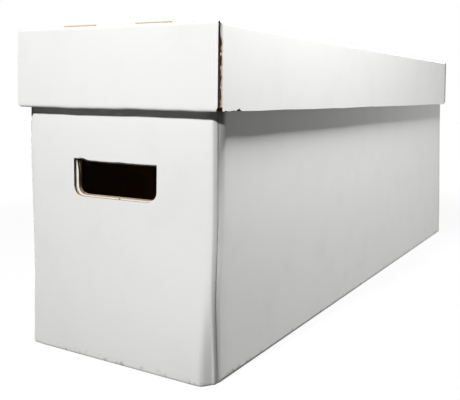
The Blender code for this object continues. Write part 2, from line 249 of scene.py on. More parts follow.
# %% A closed sheet between two grids
def wrap(keep):
    """Faces of a closed sheet over the kept cells, and what each is: 0 front, 1 back, 2 wall.

    Front points are numbered row by row, and back points follow. A cell gives one face in front and
    one, turned, at the back; a grid edge that one kept cell has alone gives a wall.
    """
    rows, columns = keep.shape
    number = np.arange((rows + 1) * (columns + 1)).reshape(rows + 1, columns + 1)
    back = number.size
    front_faces = np.stack([number[:-1, :-1], number[:-1, 1:], number[1:, 1:], number[1:, :-1]], -1)[keep]
    parts, kinds = [front_faces, front_faces[:, ::-1] + back], [0, 1]
    ring = np.pad(keep, 1)
    row_edges = (number[:, :-1], number[:, 1:], ring[1:, 1:-1], ring[:-1, 1:-1])
    column_edges = (number[1:, :], number[:-1, :], ring[1:-1, 1:], ring[1:-1, :-1])
    for a, b, after, before in (row_edges, column_edges):
        parts.append(np.stack([b, a, a + back, b + back], -1)[after & ~before])
        parts.append(np.stack([a, b, b + back, a + back], -1)[before & ~after])
        kinds += [2, 2]
    return np.concatenate(parts), np.repeat(kinds, [len(part) for part in parts])


def outward(points, faces):
    """The faces, all turned round if the volume that they enclose comes out negative."""
    a, b, c, d = (points[faces[:, corner]] for corner in range(4))
    volume = np.einsum("ij,ij->i", a, np.cross(b, c) + np.cross(c, d)).sum()
    return faces if volume > 0 else faces[:, ::-1]


print("a cell left out of nine gives", len(wrap(np.arange(9).reshape(3, 3) != 4)[0]), "faces")

# %% [markdown]
# ## From arrays to a mesh
# Points and faces can be given to Blender as lists, but a panel has tens of thousands of them, so whole
# arrays go in at once. Paper is smooth on its faces and sharp where it is cut, and the angle between two
# faces tells one from the other. Where each point lies in the flat blank is kept as a UV map, in metres.

# %% Mesh and finishes
EDGE_ANGLE = math.radians(40)   # sharper edges than this aren't shaded smooth
finishes = {}                   # paper finishes by name, filled in below


def mesh_piece(name, points, faces):
    """An object at the origin from points and four-sided faces, smooth but for its sharp edges."""
    mesh = bpy.data.meshes.new(name)
    mesh.vertices.add(len(points))
    mesh.vertices.foreach_set("co", points.astype(np.float32).ravel())
    mesh.loops.add(faces.size)
    mesh.loops.foreach_set("vertex_index", faces.astype(np.int32).ravel())
    mesh.polygons.add(len(faces))
    mesh.polygons.foreach_set("loop_start", np.arange(0, faces.size, 4, dtype=np.int32))
    mesh.update(calc_edges=True)
    mesh.validate()
    mesh.polygons.foreach_set("use_smooth", np.ones(len(faces), bool))
    mesh.set_sharp_from_angle(angle=EDGE_ANGLE)
    piece = bpy.data.objects.new(name, mesh)
    bpy.context.scene.collection.objects.link(piece)
    return piece


def paint(piece, flat, surfaces, names):
    """Gives each face its finish, and the points their place in the flat blank as a UV map, in metres."""
    for name in names:
        piece.data.materials.append(finishes[name])
    piece.data.polygons.foreach_set("material_index", surfaces.astype(np.int32))
    corners = np.empty(len(piece.data.loops), np.int32)
    piece.data.loops.foreach_get("vertex_index", corners)
    layer = piece.data.uv_layers.new(name="blank")
    layer.data.foreach_set("uv", flat[corners].astype(np.float32).ravel())


print("edges sharper than", round(math.degrees(EDGE_ANGLE)), "degrees stay sharp")

# %% [markdown]
# ## What board is made of
# Corrugated board is a white paper, a waved brown paper and a plain brown paper, glued crest to crest.
# A solid slab with a bump texture on its edge would look right from afar only; three thin sheets show
# the true open flutes in every cut edge, also from behind and inside. In both blanks the flutes run
# across the box, so the wave is a sine of the distance along it.

# %% Three papers
WAVE_STEPS = 10                 # points on one wave
GLUE = 0.00002                  # the wave's crests reach this far into both papers
CORE_SWING = BOARD / 2 - LINER - CORE_PAPER / 2 + GLUE
FRAY_STEP = 0.0012              # cells of the white paper across a ragged edge
# Inner and outer side of each paper, from the middle of the board.
DEPTHS = {"white": (BOARD / 2 - LINER, BOARD / 2), "core": (-CORE_PAPER / 2, CORE_PAPER / 2),
          "brown": (-BOARD / 2, LINER - BOARD / 2)}
SURFACES = ("white", "torn", "brown", "core")           # in the order of a piece's material slots
made = {}                       # pieces by name


def finer_rows(grids, keep, step):
    """The same grids with rows added in between, by straight interpolation, at most a step apart."""
    along = grids[1]
    widest = np.abs(np.diff(along, axis=0)).max(axis=1)
    counts = np.maximum(1, np.ceil(widest / step - HAIR)).astype(int)
    places = np.concatenate([i + np.arange(n) / n for i, n in enumerate(counts)] + [[len(counts)]])
    low = np.minimum(places.astype(int), len(counts) - 1)
    share = (places - low)[:, None]
    return [grid[low] * (1 - share) + grid[low + 1] * share for grid in grids], keep[low[:-1]]


def sheet(paper, fold, across, along, keep, turned, fray):
    """One closed paper of a panel: points, their places in the flat blank, faces and their surfaces.

    Front and back are fold(across, along, out) at the paper's two depths. The core's depth also has a
    sine of the distance along the blank, and fray moves the white paper's points before it is folded.
    """
    bare, wave = np.zeros(across.shape, bool), 0
    if fray and paper == "white":
        (along, across), keep = finer_rows([along.T, across.T], keep.T, FRAY_STEP)
        across, along, bare = fray(across.T, along.T)
        keep = keep.T
    if paper == "core":
        (across, along), keep = finer_rows([across, along], keep, FLUTE_PITCH / WAVE_STEPS)
        bare = np.zeros(across.shape, bool)
        wave = CORE_SWING * np.sin(2 * math.pi * along / FLUTE_PITCH)
    low, high = DEPTHS[paper]
    points = np.concatenate([fold(across, along, high + wave).reshape(-1, 3),
                             fold(across, along, low + wave).reshape(-1, 3)])
    faces, kinds = wrap(keep)
    used, faces = np.unique(faces, return_inverse=True)
    flat = np.tile(np.stack([across, along], -1).reshape(-1, 2), (2, 1))[used]
    points, faces = points[used], faces.reshape(-1, 4)
    pulp = np.tile(bare.ravel(), 2)[used][faces].all(axis=1)
    if turned:
        points, flat = points * (-1, -1, 1), -flat
    is_torn = (paper == "white") & ((kinds > 0) | pulp)
    surfaces = np.where(is_torn, SURFACES.index("torn"), SURFACES.index(paper))
    return points, flat, outward(points, faces), surfaces


def board(name, fold, across, along, keep, body, settle, turned=False, fray=None):
    """One panel as three closed papers in one mesh, put in place and given to its body.

    fold(across, along, out) is where a point of the blank lies, and settle moves it from there. turned
    takes the half turn that makes the other end's or side's panel. fray(across, along) moves the white
    paper's own cut edges and says which points lie where only its torn pulp is left.
    """
    across, along = (np.array(grid, float) for grid in np.broadcast_arrays(across, along))
    sheets = [sheet(paper, fold, across, along, keep, turned, fray) for paper in DEPTHS]
    points, flat, faces, surfaces = zip(*sheets)
    starts = np.cumsum([0] + [len(part) for part in points])
    faces = [part + start for part, start in zip(faces, starts)]
    piece = mesh_piece(name, settle(np.concatenate(points)), np.concatenate(faces))
    paint(piece, np.concatenate(flat), np.concatenate(surfaces), SURFACES)
    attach(piece, body)
    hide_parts(name)
    made[name] = piece


print("core swings", round(CORE_SWING * 1000, 2), "mm to each side of the middle")

# %% [markdown]
# ## Writing shader maths as sums
# A material is a graph of nodes. Wiring sums by hand takes a line for each node, so a small class
# stands for one output and turns + and * into Math nodes, while any other node comes from one method.

# %% Wires between nodes
class Wire:
    """An output of a node. Sums on it add Math nodes; node() adds any other kind beside it."""

    def __init__(self, tree, socket):
        self.tree, self.socket = tree, socket

    def node(self, kind, settings=None, inputs=None, output=0):
        """Adds a node. Settings are set first; then inputs, by name or number, take values or wires.
        Gives the wire of one output."""
        made_node = self.tree.nodes.new("ShaderNode" + kind)
        for key, value in (settings or {}).items():
            setattr(made_node, key, value)
        for key, value in (inputs or {}).items():
            if isinstance(value, Wire):
                self.tree.links.new(value.socket, made_node.inputs[key])
            else:
                made_node.inputs[key].default_value = value
        return Wire(self.tree, made_node.outputs[output])

    def math(self, operation, *values, clamp=False):
        """One Math node."""
        return self.node("Math", {"operation": operation, "use_clamp": clamp}, dict(enumerate(values)))

    def __add__(self, other):
        return self.math("ADD", self, other)

    def __mul__(self, other):
        return self.math("MULTIPLY", self, other)

    __radd__, __rmul__ = __add__, __mul__

    def clamped(self):
        """Held between 0 and 1."""
        return self.math("ADD", self, 0.0, clamp=True)

    def rise(self, low, high):
        """A smooth step from 0 at low to 1 at high, or down again where high is the smaller."""
        return self.node("MapRange", {"interpolation_type": "SMOOTHSTEP"},
                         {"Value": self, "From Min": low, "From Max": high})

    def noise(self, scale, detail=2.0, roughness=0.5):
        """Soft noise between 0 and 1 at this vector; scale is waves in a metre."""
        return self.node("TexNoise", None, {"Vector": self, "Scale": scale, "Detail": detail,
                                            "Roughness": roughness})

    def stretched(self, x, y, z):
        """This vector times one number for each direction."""
        return self.node("VectorMath", {"operation": "MULTIPLY"}, {0: self, 1: (x, y, z)})

    def part(self, name):
        """The X, Y or Z of this vector."""
        return self.node("SeparateXYZ", None, {0: self}, output=name)

    def blend(self, first, second):
        """From the first colour to the second as this goes from 0 to 1."""
        return self.node("Mix", {"data_type": "RGBA"}, {0: self, 6: first, 7: second}, output=2)


print("a wire offers", ", ".join(name for name in vars(Wire) if not name.startswith("_")))

# %% [markdown]
# ## Where a finish takes its coordinates
# Every paper is one material with one shader. Textures could be projected onto the standing box, but their
# grain would jump at each crease. In the blank's coordinates it runs on round them, and only marks that
# the box got while it stood somewhere, such as scuffs from the ground, use the place on the box.

# %% A new finish and its inputs
def new_finish(name):
    """A material with its shader, and wires for the place in the blank and the place on the box."""
    material = bpy.data.materials.new(name)
    material.use_nodes = True
    tree = material.node_tree
    shader = tree.nodes["Principled BSDF"]
    start = Wire(tree, None)
    blank = start.node("UVMap", {"uv_map": "blank"})
    place = start.node("TexCoord", None, None, output="Object")
    return material, shader, blank, place


def feed(shader, **inputs):
    """Links wires, and sets plain values, on the shader. Base_Color means Base Color."""
    for name, value in inputs.items():
        socket = shader.inputs[name.replace("_", " ")]
        if isinstance(value, Wire):
            value.tree.links.new(value.socket, socket)
        else:
            socket.default_value = value


print("materials before the first finish:", len(bpy.data.materials))

# %% [markdown]
# ## White outer paper
# The outside is bleached paper: matt, very slightly warm, a little uneven where the brown fibres under
# it show, and scuffed along the ground. Through it the flutes print as a faint washboard. All of this
# comes from noise on the blank's own coordinates, so it bends round the creases with the paper. A
# photograph of real paper would do as well, but formulas stay sharp from close by and never repeat.

# %% White paper
WHITE = (0.86, 0.862, 0.85, 1)
WHITE_THIN = (0.80, 0.795, 0.775, 1)      # where brown fibres show through
WHITE_SHINE = 0.2
SCUFF = (0.30, 0.24, 0.19, 1)
SCUFF_REACH = 0.007             # height up to which the ground has rubbed it
# grey of the marks, also used as painted shade for two dents in the left edge
GREY_AND_DENT_SHADE = (0.48, 0.48, 0.47, 1)
BROWN_MARK = (0.25, 0.19, 0.14, 1)
WASHBOARD = 0.000016            # height of the printed-through flutes
CLOUDS = 24                     # noises, by their waves in a metre
WHITE_FIBRES = 1400
RUBS = 160
CRUMBS = 420


def flutes(blank):
    """The washboard: a sine of the distance along the blank."""
    return blank.math("SINE", blank.part("Y") * (2 * math.pi / FLUTE_PITCH))


def relief(height, distance):
    """A bump whose height is in units of the distance."""
    return height.node("Bump", None, {"Height": height, "Distance": distance, "Strength": 1.0},
                       output="Normal")


# Marks, each a place on the box, a radius and a strength. The grey ones are a smudge, a grey patch at the
# crushed foot corner, and painted shade for two dents in the left edge, which have no shape of their own.
# The brown ones are wear.
GREY_MARKS_AND_DENT_SHADE = [((-0.0640, -0.358, 0.0077), 0.0022, 0.35), ((-0.0925, -0.354, 0.0045), 0.0055, 0.5),
              ((-0.0935, -0.353, 0.0330), 0.0028, 0.3), ((-0.0935, -0.353, 0.0280), 0.0028, 0.3)]
BROWN_MARKS = [((0.094, -0.336, 0), 0.006, 0.9), ((0.094, -0.327, 0), 0.008, 1.0),
               ((0.094, -0.318, 0), 0.007, 1.0), ((0.094, -0.304, 0), 0.006, 0.7),
               ((0.094, 0.325, 0), 0.009, 0.8)]


def marked(place, marks):
    """Soft round marks, each a place on the box, a radius and a strength, added up."""
    total = 0.0
    for centre, radius, strength in marks:
        away = place.node("VectorMath", {"operation": "DISTANCE"}, {0: place, 1: centre}, output="Value")
        total = away.rise(radius, 0.0) * strength + total
    return total


def white_paper():
    """Clouds and fibres thin the white, rubs scuff it near the ground, and the marks lie over both: a
    smudge, brown wear and painted shade for two dents.
    """
    material, shader, blank, place = new_finish("white outer paper")
    cloud = blank.noise(CLOUDS, detail=4, roughness=0.6)
    fibre = blank.stretched(1, 0.35, 1).noise(WHITE_FIBRES, detail=3, roughness=0.65)
    mottle = (cloud.rise(0.45, 0.8) * 0.5 + fibre.rise(0.55, 0.85) * 0.3).clamped()
    rub = blank.noise(RUBS, detail=5, roughness=0.7).rise(0.52, 0.68)
    scuffed = (rub * place.part("Z").rise(SCUFF_REACH, 0.0) * 0.75).clamped()
    colour = scuffed.blend(mottle.blend(WHITE, WHITE_THIN), SCUFF)
    # grey marks, two of which are painted shade standing in for dents
    colour = marked(place, GREY_MARKS_AND_DENT_SHADE).clamped().blend(colour, GREY_AND_DENT_SHADE)
    worn = blank.noise(CRUMBS, detail=3, roughness=0.6).rise(0.35, 0.6) * marked(place, BROWN_MARKS)
    colour = worn.clamped().blend(colour, BROWN_MARK)
    bump = flutes(blank) * 0.5 + fibre * 0.9
    feed(shader, Base_Color=colour, Roughness=0.62 + 0.12 * cloud, Normal=relief(bump, WASHBOARD),
         Specular_IOR_Level=WHITE_SHINE)
    return material


finishes["white"] = white_paper()
print("marks on the white paper:", len(GREY_MARKS_AND_DENT_SHADE) + len(BROWN_MARKS))

# %% [markdown]
# ## Brown papers
# The inside and the waved core are unbleached kraft paper: long fibres, darker specks and no gloss. A cut
# or torn edge of the white paper shows its paler pulp. All three are the same paper in other colours, so
# one function makes them; copies made by hand would drift apart.

# %% Brown papers
BROWN = (0.48, 0.335, 0.205, 1)
BROWN_DARK = (0.34, 0.21, 0.10, 1)
BROWN_PALE = (0.58, 0.43, 0.29, 1)
CORE_BROWN = (0.44, 0.28, 0.13, 1)
TORN = (0.70, 0.62, 0.48, 1)
TORN_PALE = (0.84, 0.80, 0.71, 1)
BROWN_SHINE = 0.12
BROWN_FIBRES = 1900             # noises, by their waves in a metre
BROWN_CLOUDS = 38
SPECKS = 900


def brown_paper(name, base, dark, pale):
    """Kraft: clouds and long fibres go from the base colour to the pale one, and specks are dark."""
    material, shader, blank, place = new_finish(name)
    fibre = blank.stretched(0.18, 1, 1).noise(BROWN_FIBRES, detail=4, roughness=0.7)
    cloud = blank.noise(BROWN_CLOUDS, detail=3)
    specks = blank.noise(SPECKS, detail=2).rise(0.66, 0.74)
    tone = (0.35 * cloud + 0.65 * fibre).rise(0.3, 0.75)
    colour = (specks * 0.6).blend(tone.blend(base, pale), dark)
    bump = flutes(blank) * 0.7 + fibre
    feed(shader, Base_Color=colour, Roughness=0.74 + 0.12 * fibre, Normal=relief(bump, WASHBOARD),
         Specular_IOR_Level=BROWN_SHINE)
    return material


finishes["brown"] = brown_paper("brown inner paper", BROWN, BROWN_DARK, BROWN_PALE)
finishes["core"] = brown_paper("brown waved paper", CORE_BROWN, BROWN_DARK, BROWN)
finishes["torn"] = brown_paper("cut edge of the white paper", TORN, BROWN, TORN_PALE)
print("finishes:", ", ".join(finishes))

# %% [markdown]
# ## Nothing stays quite flat
# A box that has been carried about bows a little. The end's foot is pushed out beside the near corner
# and turned back at it, the left side leans, and cut edges waver. Each of these is one smooth function of
# the place on the folded box, laid over all panels at once, so that neighbours move together. Sculpting
# or a cloth simulation would part them.

# %% Smooth steps and wavers
def ripple(t, length, seed):
    """An even waver between about -1 and 1: half the sum of a sine of the given length and two shorter
    and weaker ones, each shifted by a multiple of the seed."""
    return (np.sin(2 * math.pi * t / length + 1.7 * seed) + 0.6 * np.sin(5.3 * math.pi * t / length + seed)
            + 0.4 * np.sin(9.1 * math.pi * t / length + 2.3 * seed)) / 2


def smooth(t, low, high):
    """0 below low, 1 above high and a smooth step between them; high may be the smaller."""
    share = np.clip((t - low) / (high - low), 0, 1)
    return share * share * (3 - 2 * share)


def above(t, softness):
    """t where it is positive and 0 where it isn't, with a bend as soft as a hyperbola's between."""
    return (t + np.hypot(t, softness)) / 2


print("a smooth step passes", smooth(0.25, 0, 1).round(3), "at a quarter")

# %% [markdown]
# ## The edge above the hand hole
# Fingers have pulled at the board above the near hole, so its upper edge rises at the left and wavers. It
# could be drawn into the wall's own grid. But the layers behind and the root of the flap have to move
# alike, so it is one shift that all of them share.

# %% How the hand hole's edge hangs
HOLE_TOP = 0.1627
HANG_NEAR = 0.003               # points this near the edge's height move with it
HANG_FADE = 0.012               # and from here on nothing moves
HANG_LEFT = 0.0016              # it rises by this at its left,
HANG_LEFT_START = -0.0290       # from here
HANG_LEFT_END = -0.0360         # to here
HANG_WAVER = 0.0005             # and wavers by this
HANG_WAVER_LENGTH = 0.034
HANG_LEAST = 0.0001             # but it drops no more than this, so that the closed flap clears it


def hole_hang(x, y, z):
    """How the top edge of the photographed hand hole wanders: a smooth step up at the left plus a ripple,
    never lower than the least, and only close to the edge at the near end."""
    near = smooth(np.abs(z - HOLE_TOP), HANG_FADE, HANG_NEAR) * (y < 0)
    left = HANG_LEFT * smooth(x, HANG_LEFT_START, HANG_LEFT_END)
    waver = HANG_WAVER * ripple(x, HANG_WAVER_LENGTH, 0.4)
    return near * np.maximum(left + waver - HANG_LEAST, -HANG_LEAST)


print("the hand hole's edge rises by", (hole_hang(HANG_LEFT_END, -1.0, HOLE_TOP) * 1000).round(2), "mm")

# %% [markdown]
# ## How the tray sits
# This is where the photographed edges leave the straight lines of a perfect box. At the near corner the
# foot of the end leans out and is turned back behind an upright bend; the left side bulges, and the foot's
# left corner is crushed. A lattice could be pulled by hand to the same shape, but smooth steps keep each
# of these effects a value of its own.

# %% How the tray sits
FOOT_SLANT = 0.0444             # the end's foot stands further out towards the right, by this slope
FOOT_START = -0.109             # counted from here
FOOT_HEIGHT = 0.13              # the slant is gone at this height
CURL_PLACE = 0.0862             # right of an upright bend here it turns back,
CURL_SLOPE = 1.4                # by this slope,
CURL_WIDTH = 0.0058             # over this width
CURL_SOFTNESS = 0.0012
CURL_HEIGHT = 0.085             # and from this height on nothing is turned back
FAR_REACH = 0.0055              # the other end's foot stands out by this
KNOCK = 0.0030                  # how far the right-hand corners are knocked back
KNOCK_FROM = 0.0850             # right of this,
KNOCK_WIDTH = 0.016             # more and more over this width
KNOCK_START, KNOCK_END = 0.300, 0.345     # and between these distances from the middle of the box
SWING = 0.0016                  # foot of the right side: in at the near end, out at the far end
BOW_HEIGHT = 0.2                # the swing and the far end's push are gone at this height
LEFT_BELLY = 0.0014             # the left side bulges by this
BELLY_RISE = 0.06               # from this height on
LEFT_LEAN = 0.0026              # and leans out by this
LEAN_PLACE = 0.19               # at this height, and in by as much
LEAN_DROP = 0.15                # this far below it
LEAN_END = 0.25                 # both are gone at this height
STIFF_SHARE = 0.6               # pushes at an end are gone at this share of the half length
CRUSH = 0.0032                  # how far the front left corner of the foot is crushed upwards
CRUSH_WIDTH = 0.0075


def settle_tray(points):
    """The bows of the tray, as shifts of its points.

    Across: less a lean, which is a cosine of the height, and a belly at the left, plus a swing at the
    right. Along, outwards and fading out towards the middle: at the near end the foot's slant less what
    is turned back, at the far end a push, and at both less the knock. Up: the hand hole's edge and the
    crushed corner.
    """
    x, y, z = points.T
    at_end = smooth(np.abs(y), STIFF_SHARE * tray.half_length, tray.half_length)
    bend = x - CURL_PLACE
    turned_back = CURL_SLOPE * (above(bend, CURL_SOFTNESS) - above(bend - CURL_WIDTH, CURL_SOFTNESS))
    slanted = smooth(z, FOOT_HEIGHT, 0) * FOOT_SLANT * (x - FOOT_START)
    push = np.where(y < 0, slanted - smooth(z, CURL_HEIGHT, 0) * turned_back,
                    smooth(z, BOW_HEIGHT, 0) * FAR_REACH)
    knock = KNOCK * smooth(np.abs(y), KNOCK_START, KNOCK_END)
    knock *= smooth(x, KNOCK_FROM, KNOCK_FROM + KNOCK_WIDTH)
    at_left, at_right = smooth(-x, 0, tray.half_width), smooth(x, 0, tray.half_width)
    lean = np.where(z < LEAN_PLACE, np.cos(math.pi * (z - LEAN_PLACE) / LEAN_DROP), 1)
    lean *= smooth(z, LEAN_END, LEAN_PLACE)
    belly = LEFT_BELLY * smooth(z, 0, BELLY_RISE) * smooth(z, LEAN_END, BOW_HEIGHT)
    swing = SWING * y / tray.half_length * smooth(z, BOW_HEIGHT, 0)
    crushed = CRUSH * smooth(x, CRUSH_WIDTH - tray.half_width, -tray.half_width) * smooth(
        y, CRUSH_WIDTH - tray.half_length, -tray.half_length) * smooth(z, 2 * CRUSH_WIDTH, 0)
    return np.stack([x - (LEFT_LEAN * lean + belly) * at_left + swing * at_right,
                     y + np.sign(y) * (at_end * push - knock), z + hole_hang(x, y, z) + crushed], -1)


print("foot pushed out by up to", round(FOOT_SLANT * (CURL_PLACE - FOOT_START) * 1000, 1), "mm")

# %% [markdown]
# ## How the lid sits
# The lid is shallow and stiff, so it keeps its shape, and only its lower edges waver a little. Straight
# edges would do for its outline, but they look ruled beside the tray's.

# %% How the lid sits
LID_WAVER = 0.0004
LID_WAVER_LENGTH = 0.11
LID_WAVER_SLANT = 0.4           # the waver runs across the box, and along it by this share


def settle_lid(points):
    """The lid's lower edges waver by a fraction of a millimetre: a ripple that runs slantwise over it."""
    x, y, z = points.T
    edge = smooth(z, lid.base - lid.height / 2, lid.base - lid.height)
    waver = LID_WAVER * ripple(x + LID_WAVER_SLANT * y, LID_WAVER_LENGTH, 1.3)
    return np.stack([x, y, z + edge * waver], -1)


print("the lid's edges waver by", LID_WAVER * 1000, "mm")

# %% [markdown]
# ## Floor of the tray and top of the lid
# The flat middle of each blank has rounded corners, where the creases meet, and two slots at each end
# for the locking tabs. A slot could be cut out with a Boolean, but here rows and columns of the grid run
# along every slot's edge, and the slot is the cells that are left out.

# %% The flat middles
TAB_WIDTH = 0.0330
SLOT_PLAY = 0.0006              # a slot is larger than its tab by this all round
TRAY_TAB_PLACE = 0.0450         # middle of a tab, from the middle of the end
LID_TAB_PLACE = 0.0366
PANEL_STEP = 0.016              # size of a cell on a plain stretch
CORNER_ROWS = 5
FLAT_CELLS = 3                  # cells beside, across and between the slots


def rounding(distance, radius):
    """How far a quarter circle stands in from a side, at a distance from the edge that it runs into: the
    radius less the height of the circle there."""
    left = radius - np.clip(distance, 0, radius)
    return radius - np.sqrt(radius ** 2 - left ** 2)


def tab_edges(place, half):
    """Edges of the left and of the right tab or slot."""
    return [-place - half, half - place, place - half, place + half]


def flat_panel(name, blank, tab_place, body, settle):
    """The floor or the lid's top: rows as wide as the rounded corners let them be, less four slots."""
    slot_place = blank.half_length - BOARD / 2 - 2 * PLY
    slot_half = BOARD / 2 + SLOT_PLAY
    corner = lines([0, PLY], PLY / CORNER_ROWS)
    flat = lines([PLY - blank.end_crease, slot_half - slot_place, slot_place - slot_half,
                  blank.end_crease - PLY], PANEL_STEP)
    rows = merged(corner - blank.end_crease, [-slot_place - slot_half], flat, [slot_place + slot_half],
                  blank.end_crease - corner)
    half = blank.side_crease - rounding(blank.end_crease - np.abs(rows), PLY)
    across = spread([-half, *tab_edges(tab_place, TAB_WIDTH / 2 + SLOT_PLAY), half], (FLAT_CELLS,) * 5)
    in_row = np.abs(np.abs(middles(rows)) - slot_place) < slot_half
    in_column = np.repeat([False, True, False, True, False], FLAT_CELLS)
    board(name, blank.floor, across, rows[:, None], ~(in_row[:, None] & in_column), body, settle)


flat_panel("floor_panel", tray, TRAY_TAB_PLACE, "tray", settle_tray)
flat_panel("lid_top_panel", lid, LID_TAB_PLACE, "lid", settle_lid)
print("flat middles:", [len(made[name].data.polygons) for name in made], "faces")

# %% [markdown]
# ## The hand hole
# All three layers of the tray's ends have the hand hole, with a straight crease on top and round corners
# below. Cutting the three with one shape would be the short way. Here each layer's grid follows its own
# hole, a little smaller in the layers further in, because in the photograph their paper shows inside the
# outer hole's edge.

# %% Hand hole
HOLE_HALF = 0.0412              # half its width
HOLE_HEIGHT = 0.0305
HOLE_OFFSET = -0.0026           # its middle lies this far left of the end's
HOLE_TOP_RADIUS = 0.0014
HOLE_FOOT_RADIUS = 0.0085
SQUARE = 1e-6                   # radius of a corner that isn't round
HOLE_STEP_SIDE = 0.0021         # the corner flaps stand in from the outer hole's sides by this
HOLE_STEP_FOOT = 0.0009         # and the inner layers from its foot by this
HOLE_HEADROOM = 0.0005          # their upper edges stand this far above the hinge
ARC_ROWS = 6


def arc_lines(radius):
    """Places along a side where rows go round a quarter circle: its radius times one less the cosine."""
    return radius * (1 - np.cos(np.linspace(0, math.pi / 2, ARC_ROWS + 1)))


class Hole:
    """A hand hole: straight crease on top, round lower corners."""

    def __init__(self, step_side, step_foot, headroom, top_radius):
        self.half = HOLE_HALF - step_side
        self.foot = HOLE_TOP - HOLE_HEIGHT + step_foot
        self.top = HOLE_TOP + headroom
        self.foot_radius, self.top_radius = HOLE_FOOT_RADIUS - step_foot, top_radius

    def levels(self, low, high):
        """Heights for the rows of a panel from low to high, close together at the round corners."""
        return merged(lines([low, self.foot], PANEL_STEP), self.foot + arc_lines(self.foot_radius),
                      lines([self.foot + self.foot_radius, self.top - self.top_radius], PANEL_STEP / 3),
                      self.top - arc_lines(self.top_radius), lines([self.top, high], PANEL_STEP))

    def sides(self, level):
        """Its left and right edge at each height, and in rows above and below where the arcs end."""
        inset = rounding(level - self.foot, self.foot_radius) + rounding(self.top - level, self.top_radius)
        return HOLE_OFFSET - self.half + inset, HOLE_OFFSET + self.half - inset

    def spared(self, level, counts):
        """Cells to keep: all but those of the middle count in the rows inside the hole."""
        inside = (middles(level) > self.foot) & (middles(level) < self.top)
        is_middle = np.arange(len(counts)) == len(counts) // 2
        return ~(inside[:, None] & np.repeat(is_middle, counts))


outer_hole = Hole(0, 0, 0, HOLE_TOP_RADIUS)
flap_hole = Hole(HOLE_STEP_SIDE, HOLE_STEP_FOOT, HOLE_HEADROOM, SQUARE)
inner_hole = Hole(0, HOLE_STEP_FOOT, HOLE_HEADROOM, SQUARE)
print("hand hole", round(2 * outer_hole.half * 1000, 1), "by", HOLE_HEIGHT * 1000, "mm")

# %% [markdown]
# ## The rolled-over ends
# Each end is one strip that goes up outside, over a rim and down inside, where two tabs lock it in the
# floor. A single mesh would do, but it is made as three panels that meet in the creases, so that each
# keeps its own name. The tray's outer panels are pressed thin at their upright cut edges, and the right
# edge is spread towards the corner.

# %% Outer panels of the ends
TRAY_TAPER = 0.0002             # the wall's head is this much narrower than the rim at each side
EDGE_PROUD = {"tray": 0.0022, "lid": 0.0}   # at the foot its right edge spreads this far to the corner
PRESS = {"tray": 0.9, "lid": 0.0}           # share of the thickness lost at the upright cut edges
PRESS_AT_FOOT = 0.0011          # over this width up to the first of two heights,
PRESS_WIDTH = 0.0029            # and over this width from the second on
PRESS_FROM, PRESS_TO = 0.03, 0.10
PRESS_POWER = 1.5               # 1 would be a straight slope to the edge
END_CELLS = (8, 5, 28, 24, 8)   # pressed edge, left of the hand hole, across it, right of it, pressed edge
SKIRT_CELLS = (8, 20, 8)        # the lid's end has no hole


def strip_rows(blank, stretch, height):
    """Where rows of an end strip lie along the blank, for a height on its outer or inner wall."""
    rim_end = QUARTER * 3 + blank.height - 2 * FOLD_RADIUS + 2 * PLY - 2 * NEUTRAL
    past = (QUARTER + height - FOLD_RADIUS if stretch == "outer"
            else rim_end + blank.height - FOLD_RADIUS - height)
    return -(blank.end_crease + past)


def pressed(fold, press):
    """The same fold, with the board's front pressed back towards its cut edges: by a share that goes from
    0 to press as a power of how near the edge is, over a width that is smaller at the foot."""
    def pressed_fold(across, along, out):
        from_edge = np.minimum(across - across[:, :1], across[:, -1:] - across)
        height = -along - tray.end_crease
        width = PRESS_AT_FOOT + (PRESS_WIDTH - PRESS_AT_FOOT) * smooth(height, PRESS_FROM, PRESS_TO)
        near = np.clip(1 - from_edge / width, 0, 1)
        return fold(across, along, (out + BOARD / 2) * (1 - press * near ** PRESS_POWER) - BOARD / 2)
    return pressed_fold


def outer_wall(name, blank, hole, body, settle, turned):
    """Outer panel of an end, from the floor's crease up to the rim's. Its edges run straight from the
    foot's half width to the head's, and the right one also spreads out towards the foot."""
    low, high = FOLD_RADIUS, blank.height - FOLD_RADIUS
    level = hole.levels(low, high) if hole else lines([low, high], PANEL_STEP / 2)
    along = np.concatenate([-(blank.end_crease + crease_lines[:-1]), strip_rows(blank, "outer", level)])
    level = np.concatenate([low + 0 * crease_lines[:-1], level])
    half = np.interp(level, [low, high], end_halves[body])
    right_edge = half + EDGE_PROUD[body] * (high - level) / (high - low)
    cells = END_CELLS if hole else SKIRT_CELLS
    across = spread([-half, PRESS_WIDTH - half, *(hole.sides(level) if hole else ()),
                     right_edge - PRESS_WIDTH, right_edge], cells)
    keep = hole.spared(level, cells) if hole else np.ones((len(level) - 1, sum(cells)), bool)
    board(name, pressed(blank.end, PRESS[body]), across, along[:, None], keep, body,
          settle, turned)


end_halves = {
    "tray": (size_of("end_wall_outer_front")[1][0], size_of("end_rim_front")[1][0] - TRAY_TAPER),
    "lid": (size_of("lid_end_skirt_outer_front")[1][0], size_of("lid_end_skirt_outer_front")[1][0])}
print("half widths of the ends, foot and head:", end_halves)

# %% [markdown]
# ## Over the rim and down inside
# The rim covers the raw edges of the layers between, and the inner panel's tabs reach into the floor's
# slots. A rim can be bent with a modifier; in the blank it is a few rows, and the fold makes both of its
# creases. Below the hand hole the inner panel's grid lines swing over to the tabs, so that the tabs need
# no pieces of their own.

# %% Rims and inner panels of the ends
TRAY_TAB_SHY = 0.0004           # the tray's tabs end this far inside the floor's underside
LID_TAB_PROUD = 0.0015          # the lid's tabs stand this far out of its top
RIM_CELLS = 24
INNER_CELLS = (3, 5, 14, 5, 3)  # beside, across and between the tabs, with the hand hole between
INNER_SKIRT_CELLS = (3, 5, 6, 5, 3)


